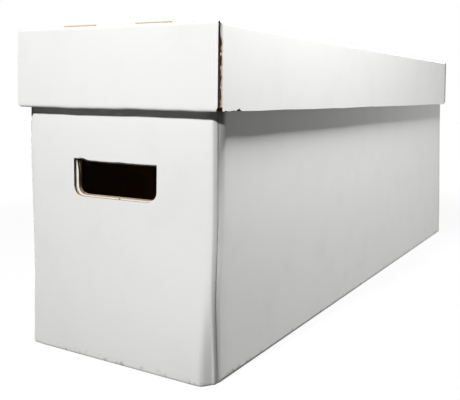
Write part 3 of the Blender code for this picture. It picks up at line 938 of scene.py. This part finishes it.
def rim(name, blank, inner_half, body, settle, turned):
    """The strip over the three layers: crease, narrow flat, crease."""
    start = QUARTER + blank.height - 2 * FOLD_RADIUS
    over = 2 * PLY - 2 * NEUTRAL
    past = merged(crease_lines, [QUARTER + over / 2], QUARTER + over + crease_lines)
    half = np.interp(past, [0, QUARTER, past[-1]], [end_halves[body][1], rim_halves[body], inner_half])
    keep = np.ones((len(past) - 1, RIM_CELLS), bool)
    board(name, blank.end, spread([-half, half], (RIM_CELLS,)), -(blank.end_crease + start + past)[:, None],
          keep, body, settle, turned)


def inner_wall(name, blank, hole, half, tab_place, tab_end, body, settle, turned):
    """Inner panel of an end: down from the rim, with the hole, and two tabs past its lower edge. Below the
    hole its sides swing over, by a smooth step, to where the tabs begin."""
    low, high = PLY, blank.height - FOLD_RADIUS
    level = np.concatenate([[tab_end], hole.levels(low, high) if hole else lines([low, high], PANEL_STEP)])
    edges = tab_edges(tab_place, TAB_WIDTH / 2)
    cells = INNER_CELLS if hole else INNER_SKIRT_CELLS
    keep = hole.spared(level, cells) if hole else np.ones((len(level) - 1, sum(cells)), bool)
    keep[0] = np.repeat([False, True, False, True, False], cells)
    if hole:
        grow = smooth(level, hole.foot - 2 * PANEL_STEP, hole.foot - PANEL_STEP / 2)
        edges[1:3] = [edge * (1 - grow) + side * grow for edge, side in zip(edges[1:3], hole.sides(level))]
    board(name, blank.end, spread([-half, *edges, half], cells), strip_rows(blank, "inner", level)[:, None],
          keep, body, settle, turned)


rim_halves = {"tray": size_of("end_rim_front")[1][0], "lid": size_of("lid_end_rim_front")[1][0]}
inner_halves = {"tray": size_of("end_wall_inner_front")[1][0],
                "lid": size_of("lid_end_skirt_inner_front")[1][0]}
for end, turned in (("front", False), ("rear", True)):
    outer_wall("end_wall_outer_" + end, tray, outer_hole, "tray", settle_tray, turned)
    rim("end_rim_" + end, tray, inner_halves["tray"], "tray", settle_tray, turned)
    inner_wall("end_wall_inner_" + end, tray, inner_hole, inner_halves["tray"], TRAY_TAB_PLACE,
               TRAY_TAB_SHY, "tray", settle_tray, turned)
    outer_wall("lid_end_skirt_outer_" + end, lid, None, "lid", settle_lid, turned)
    rim("lid_end_rim_" + end, lid, inner_halves["lid"], "lid", settle_lid, turned)
    inner_wall("lid_end_skirt_inner_" + end, lid, None, inner_halves["lid"], LID_TAB_PLACE,
               -LID_TAB_PROUD, "lid", settle_lid, turned)
print("ends:", sum(len(piece.data.polygons) for piece in made.values()), "faces so far")

# %% [markdown]
# ## The split corner
# At the lid's near corner the white paper has split along the fold. A dark line painted there would look
# like that from one side only. So the white paper's own grid is moved before it is folded: it is drawn
# back to a ragged edge, and the brown papers under it show by themselves.

# %% The split corner
CRACK = 0.0007                  # the lid's white paper ends this far round the near corner's fold
CRACK_RAGS = 0.0014             # or up to this much further
CRACK_START = 0.014             # this far below the lid's top the split is open,
CRACK_END = 0.003               # and here it is closed
RAG_LENGTH, FINE_RAG_LENGTH = 0.013, 0.0047
TORN_EDGE = 0.0012              # width of bare pulp along the split
RAG_REACH = 0.034               # how far from the corner its lower edge is nibbled
NIBBLE = 0.0005
NIBBLE_LENGTH = 0.011
CHIP_DEPTH = 0.0015
CHIP_PLACE = 0.0245
CHIP_WIDTH = 0.0050
EDGE_DEPTH = 0.006              # paper this near the edge is drawn along with it


def cracked(across, along):
    """The lid's white paper at the near corner. It has split along the fold, and what was past the split is
    drawn back to a ragged edge, two ripples multiplied; its lower cut edge is nibbled, with one chip."""
    past = np.maximum(-lid.side_straight - along, 0)
    down = across - lid.side_crease
    rags = (0.5 + 0.5 * ripple(down, RAG_LENGTH, 2.1)) * (0.6 + 0.4 * ripple(down, FINE_RAG_LENGTH, 0.7))
    whole, closed = QUARTER + RETURN_WIDTH, smooth(down, CRACK_START, CRACK_END)
    reach = (CRACK + CRACK_RAGS * rags) * (1 - closed) + whole * closed
    drawn = past * reach / whole
    torn = (past > 0) & (drawn > reach - TORN_EDGE)
    along = np.where(past > 0, -lid.side_straight - drawn, along)
    from_corner = along + lid.side_straight
    chip = CHIP_DEPTH * smooth(np.abs(from_corner - CHIP_PLACE), CHIP_WIDTH, 0)
    nibble = NIBBLE * (1 + ripple(along, NIBBLE_LENGTH, 0.9))
    nibble *= smooth(from_corner, RAG_REACH, 0.6 * RAG_REACH)
    at_edge = smooth(across, across.max() - EDGE_DEPTH, across.max())
    return across - at_edge * (chip + nibble * (past == 0)), along, torn


print("white paper reaches up to", round((CRACK + CRACK_RAGS) * 1000, 1), "mm round the fold")

# %% [markdown]
# ## Side walls and skirts
# A side is a tall rectangle whose ends turn round the upright corners. The turned part is shorter than
# the side, top and bottom, so that it slips under the rim. Flat walls set edge to edge would do from
# afar; in the blank the corner is part of the side, so its flutes and its paper run on round it.

# %% Sides
CAP_SHARE = 0.7                 # how far round its corner the bottom crease of a side goes on
SIDE_STEP = 0.03
FIRST_ROW = 0.0006              # height of the row next to the crease


def side(name, blank, body, settle, turned, fray=None):
    """A side panel with the corners that it turns. Its rows go along the box and its columns up it; the
    turned ends keep only the cells between the floor and the rim, and a cap over the bottom crease."""
    straight, turn = blank.side_straight, blank.side_straight + QUARTER
    bend, flap = straight + crease_lines, turn + lines([0, RETURN_WIDTH], RETURN_WIDTH / 2)
    near = lines([-straight, RAG_REACH - straight], FRAY_STEP if fray else PANEL_STEP)
    rows = np.concatenate([-flap[::-1], -bend[::-1][1:], near[1:],
                           lines([RAG_REACH - straight, straight], PANEL_STEP)[1:], bend[1:], flap[1:]])
    low, high = PLY, blank.height - PLY
    past = np.concatenate([crease_lines, QUARTER - FOLD_RADIUS
                           + lines([FOLD_RADIUS + FIRST_ROW, high, blank.height], SIDE_STEP)])
    level = middles(past) - QUARTER + FOLD_RADIUS
    beyond = np.abs(middles(rows))[:, None] - straight
    keep = (beyond < 0) | ((level > low) & (level < high)) | ((beyond < QUARTER * CAP_SHARE) & (level < low))
    board(name, blank.side, blank.side_crease + past[None, :], rows[:, None], keep, body,
          settle, turned, fray)


for turned, place in ((False, "right"), (True, "left")):
    side("side_wall_" + place, tray, "tray", settle_tray, turned)
    side("lid_side_skirt_" + place, lid, "lid", settle_lid, turned, None if turned else cracked)
print("with the sides:", sum(len(piece.data.polygons) for piece in made.values()), "faces")

# %% [markdown]
# ## Corner flaps
# Beyond its corner the side's board goes on as a flap between the two layers of the end, with a bite
# where the hand hole passes. One bent mesh could be side and flaps, but each flap has its own name, so it
# is a panel of the same blank that starts where the side's piece stops. Its grid lines follow the bite.

# %% Corner flaps
FLAP_MEETING = 0.0014           # gap between the tray's two flaps at an end
LID_FLAP_LENGTH = 0.0600
FLAP_TAPER = 0.0025
BITE_ROWS = (10, 4, 8)          # below the bite for the hand hole, across it, and above it
LID_FLAP_ROWS = 4
FLAP_LEAN = 0.0021              # how far its bite leans away from the hand hole's side at the top
LEAN_REACH = 0.011              # from this far below the top,
LEAN_WIDTH = 0.012              # and for points this near the bite's side


def corner_flap(name, blank, toward, free, hole, body, settle, turned):
    """A flap behind the end's outer layer, tapered to its free edge. toward is -1 or 1 for the end of the
    side wall that carries it; free is where it stops, measured across the box from the middle."""
    low, high = PLY, blank.height - PLY
    start = blank.side_crease - RETURN_WIDTH
    if hole:
        edge = hole.half - HOLE_OFFSET * toward
        x = merged(lines([free, edge - hole.foot_radius], PANEL_STEP), edge - arc_lines(hole.foot_radius),
                   lines([edge, start], PANEL_STEP))[::-1]
        foot = hole.foot + rounding(edge - x, hole.foot_radius)
        taper = FLAP_TAPER * (start - x) / (start - free)
        levels = spread([low + taper, foot, hole.top + 0 * x, high - taper], BITE_ROWS)
        keep = ~((middles(x) < edge)[:, None] & np.repeat([False, True, False], BITE_ROWS))
        near = smooth(np.abs(x - edge), LEAN_WIDTH, 0)[:, None]
        x = x[:, None] + FLAP_LEAN * smooth(levels, hole.top - LEAN_REACH, hole.top) * near
    else:
        x = lines([free, start], PANEL_STEP)[::-1]
        taper = 2 * FLAP_TAPER * (start - x) / (start - free)
        levels = spread([low + 0 * x, high - taper], (LID_FLAP_ROWS,))
        keep = np.ones((len(x) - 1, LID_FLAP_ROWS), bool)
        x = x[:, None]
    across = blank.side_crease + QUARTER - FOLD_RADIUS + levels
    along = toward * (blank.side_straight + QUARTER + blank.side_crease - x)
    board(name, blank.side, across, along, keep, body, settle, turned)


for turned, corners in ((False, ("front_right", "rear_right")), (True, ("rear_left", "front_left"))):
    for toward, corner in zip((-1, 1), corners):
        corner_flap("corner_flap_" + corner, tray, toward, FLAP_MEETING / 2, flap_hole, "tray", settle_tray,
                    turned)
        corner_flap("lid_corner_flap_" + corner, lid, toward, lid.side_crease - RETURN_WIDTH
                    - LID_FLAP_LENGTH, None, "lid", settle_lid, turned)
print("corner flaps:", sum("corner_flap" in name for name in made))

# %% [markdown]
# ## Hand flaps
# The board of each hand hole isn't cut away: it hangs from the upper edge and is pushed in. A copy of the
# wall's own cells could be turned in, but the flap has lost some thickness at its hinge and has come away
# clean all round, so it is a panel with its own fold: straight in, with the white face down.

# %% Hand flaps
HAND_FLAP_PLAY = 0.0004         # the flap clears the smallest hole by this at each side
FLAP_LONGER = 0.0018            # this box's flap is a little longer than the packed one
FLAP_PRESS = 0.6                # share of the board's thickness lost at the hinge
FLAP_PRESS_DEPTH = 0.009
FLAP_ROOT = 0.010               # how far into the box the flap follows the hole's edge
FLAP_CELLS = 20
flap_half = flap_hole.half - HAND_FLAP_PLAY
flap_reach = -size_of("hand_flap_front")[0][1] + size_of("hand_flap_front")[1][1] + FLAP_LONGER
HINGE = (HOLE_OFFSET, -tray.half_length + BOARD, HOLE_TOP)


def pushed_in(across, along, out):
    """Level behind the wall, the white face down: along the blank becomes the way into the box."""
    depth = -along - tray.end_crease
    below = (BOARD / 2 + out) * (1 - FLAP_PRESS * smooth(depth, FLAP_PRESS_DEPTH, 0))
    return np.stack(np.broadcast_arrays(across, HINGE[1] + GAP + depth, HOLE_TOP - below), -1)


def settle_flap(points):
    """The flap follows the wandering edge at its root, by a smooth step of the way into the box."""
    x, y, z = points.T
    wall = tray.half_length - BOARD
    root = smooth(np.abs(y), wall - FLAP_ROOT, wall)
    return np.stack([x, y, z + root * hole_hang(x, y, 0 * z + HOLE_TOP)], -1)


def hand_flap(name, body, turned):
    """The flap, with the hole's own round corners at its free edge."""
    depth = merged(lines([0, flap_reach - HOLE_FOOT_RADIUS], PANEL_STEP / 4),
                   flap_reach - arc_lines(HOLE_FOOT_RADIUS))
    inset = rounding(flap_reach - depth, HOLE_FOOT_RADIUS)
    across = spread([HOLE_OFFSET - flap_half + inset, HOLE_OFFSET + flap_half - inset], (FLAP_CELLS,))
    keep = np.ones((len(depth) - 1, FLAP_CELLS), bool)
    board(name, pushed_in, across, -(tray.end_crease + depth)[:, None], keep, body,
          settle_flap, turned)


for end, turned in (("front", False), ("rear", True)):
    hand_flap("hand_flap_" + end, end + "_hand_flap", turned)
print("hand flaps", round(2 * flap_half * 1000, 1), "by", round(flap_reach * 1000, 1), "mm")

# %% [markdown]
# ## The crease over each hinge
# The flap's brown paper bends right at the hinge, and its white paper, on the outside of the bend, stretches
# round it as a quarter of a tube. Left to the flap, that strip would gape when the flap swings. It belongs
# half to the wall and half to the flap, so it is a piece of its own, made in place and given to neither
# body.

# %% Creases of the hand flaps
CREASE_ROWS = 8
CREASE_CELLS = 60


def crease_strip(name, turned):
    """White paper round the hinge: a quarter of an ellipse, as deep as the board and as low as the pressed
    flap, and a second one a paper further in."""
    angle = np.linspace(0, math.pi / 2, CREASE_ROWS + 1)[:, None]
    half = flap_half + (HOLE_HALF - GAP - flap_half) * smooth(angle, math.pi / 2, math.pi / 4)
    x = HOLE_OFFSET + half * np.linspace(-1, 1, CREASE_CELLS + 1)[None, :]
    drop = BOARD * (1 - FLAP_PRESS)
    grids = []
    for inside in (0, LINER):
        y = HINGE[1] - (BOARD - inside) * np.cos(angle)
        z = HINGE[2] - (drop - inside) * np.sin(angle)
        grids.append(np.stack(np.broadcast_arrays(x, y, z), -1).reshape(-1, 3))
    points = np.concatenate(grids)
    faces, kinds = wrap(np.ones((CREASE_ROWS, CREASE_CELLS), bool))
    flat = np.stack(np.broadcast_arrays(x, -tray.end_crease - HOLE_TOP + 0 * x + angle * BOARD), -1)
    flat = np.tile(flat.reshape(-1, 2), (2, 1))
    start, end = np.array([0, HINGE[1] - BOARD, HINGE[2]]), np.array([0, HINGE[1], HINGE[2] - drop])
    if turned:
        points, flat, start, end = points * (-1, -1, 1), -flat, start * (-1, -1, 1), end * (-1, -1, 1)
    points[:, 2] += hole_hang(points[:, 0], points[:, 1], HOLE_TOP)
    piece = mesh_piece(name, points, outward(points, faces))
    paint(piece, flat, np.minimum(kinds, 1), ("white", "torn"))
    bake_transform(piece)
    made[name] = piece


for end, turned in (("front", False), ("rear", True)):
    crease_strip("hand_flap_crease_" + end, turned)
print("creases turn", len(made["hand_flap_crease_front"].data.polygons), "faces round the hinge")

# %% [markdown]
# ## A floor and a world that look white
# The photograph's background is pure white, though hardly any light comes up from it onto the box. A
# white floor with more light on it would burn out the box as well. So the floor is a grey that bounces
# little, and what the camera sees of it gets white light added, which leaves the box's shadow as a faint
# tint. The world does the same: dim as a light, white as a picture.

# %% Floor and world
WORLD_FILL = 0.04               # how bright the world is as a light; 1 is white
FLOOR_GREY = 0.12
FLOOR_BOUNCE = 0.012            # its grey for light on its way from the floor to the box
FLOOR_SEEN = 0.93               # white light that the floor adds for the camera near the box
FLOOR_WHITE_FROM = 0.5          # and from here outwards it adds more, up to full white
FLOOR_REACH = 6.0
FLOOR_DROP = 0.0006             # keeps the floor clear of the box's lowest fibres


def seen_directly(tree):
    """1 where the camera sees a surface, also in gloss or through glass, and 0 for light's own paths."""
    path = tree.nodes.new("ShaderNodeLightPath")
    camera_ray, glossy, through = (Wire(tree, path.outputs["Is " + kind + " Ray"])
                                   for kind in ("Camera", "Glossy", "Transmission"))
    return (camera_ray + glossy + through).clamped()


floor_data = bpy.data.meshes.new("studio_floor")
corners = [(x * FLOOR_REACH, y * FLOOR_REACH, -FLOOR_DROP) for x, y in ((-1, -1), (1, -1), (1, 1), (-1, 1))]
floor_data.from_pydata(corners, [], [(0, 1, 2, 3)])
studio_floor = bpy.data.objects.new("studio_floor", floor_data)
bpy.context.scene.collection.objects.link(studio_floor)

floor_finish = bpy.data.materials.new("studio floor")
floor_finish.use_nodes = True
tree = floor_finish.node_tree
tree.nodes.remove(tree.nodes["Principled BSDF"])
start = Wire(tree, None)
seen = seen_directly(tree)
matt = start.node("BsdfDiffuse", None, {"Color": FLOOR_BOUNCE + seen * (FLOOR_GREY - FLOOR_BOUNCE)})
on_floor = start.node("TexCoord", output="Object")
distance = start.node("VectorMath", {"operation": "LENGTH"}, {0: on_floor}, output="Value")
added = FLOOR_SEEN + distance.rise(FLOOR_WHITE_FROM, 2 * FLOOR_WHITE_FROM) * (1 - FLOOR_SEEN)
glow = start.node("Emission", None, {"Color": (1, 1, 1, 1), "Strength": seen * added})
both = start.node("AddShader", None, {0: matt, 1: glow})
tree.links.new(both.socket, tree.nodes["Material Output"].inputs["Surface"])
floor_data.materials.append(floor_finish)

world = bpy.data.worlds.new("studio")
bpy.context.scene.world = world
world.use_nodes = True
background = world.node_tree.nodes["Background"]
background.inputs["Color"].default_value = (1, 1, 1, 1)
strength = WORLD_FILL + seen_directly(world.node_tree) * (1 - WORLD_FILL)
world.node_tree.links.new(strength.socket, background.inputs["Strength"])
bpy.context.scene.view_settings.view_transform = "Standard"
print("world gives", WORLD_FILL, "as a light")

# %% [markdown]
# ## Lamps
# A key lamp stands straight in front, about a third of a right angle up, and small enough to cut a sharp
# shadow under the lid. The long side is lit from almost straight above, by a strip that grazes it, so the
# lid's small overhang shades it a long way down. Such a strip would burn out what lies level, so it is
# linked to the upright sides alone, as a photographer would keep it off the top with a flag. The right
# side wall gets the key through a net, which is a second, weaker lamp at the same place. The soft box
# behind doesn't light the floor, as its bounce would reach under the lid. Lamps without links would be
# simpler, but would light the wall as much as the lid's side above it, which the photograph shows brighter.

# %% Lamps
def lamp(name, place, target, size, power, lights=None, fan=math.pi):
    """A soft box that looks from one place to another; lights is the only collection that it lights, and
    fan is the angle over which a grid on it lets its light out."""
    data = bpy.data.lights.new(name, "AREA")
    data.shape, data.size, data.size_y, data.energy = "RECTANGLE", size[0], size[1], power
    data.spread = fan
    thing = bpy.data.objects.new(name, data)
    thing.location = place
    thing.rotation_euler = (Vector(target) - Vector(place)).to_track_quat("-Z", "Y").to_euler()
    thing.visible_camera = False
    bpy.context.scene.collection.objects.link(thing)
    if lights:
        thing.light_linking.receiver_collection = lights


upright = bpy.data.collections.new("upright sides")
whole_box = bpy.data.collections.new("whole box")
right_wall = bpy.data.collections.new("right side wall")
all_but_it = bpy.data.collections.new("all but the right side wall")
all_but_it.objects.link(studio_floor)
for name, piece in made.items():
    whole_box.objects.link(piece)
    if name.startswith(("side_wall", "lid_side_skirt")):
        upright.objects.link(piece)
    (right_wall if name == "side_wall_right" else all_but_it).objects.link(piece)

for name, power, lights in (("key", 6.4, all_but_it), ("key through a net", 2.2, right_wall)):
    lamp(name, place=(-0.03, -2.02, 1.28), target=(0.04, -0.353, 0.34), size=(0.14, 0.14), power=power,
         lights=lights, fan=math.radians(70))
lamp("strip", place=(0.185, -0.26, 0.86), target=(0.185, -0.26, 0), size=(0.10, 0.50), power=27,
     lights=upright)
lamp("fill for the far side", place=(0.82, 0.45, 0.10), target=(0.1, 0.3, 0.1), size=(0.55, 0.3), power=2.6)
lamp("soft box behind", place=(-1.5, 1.3, 1.0), target=(0, 0, 0.1), size=(1.2, 1.2), power=40,
     lights=whole_box)
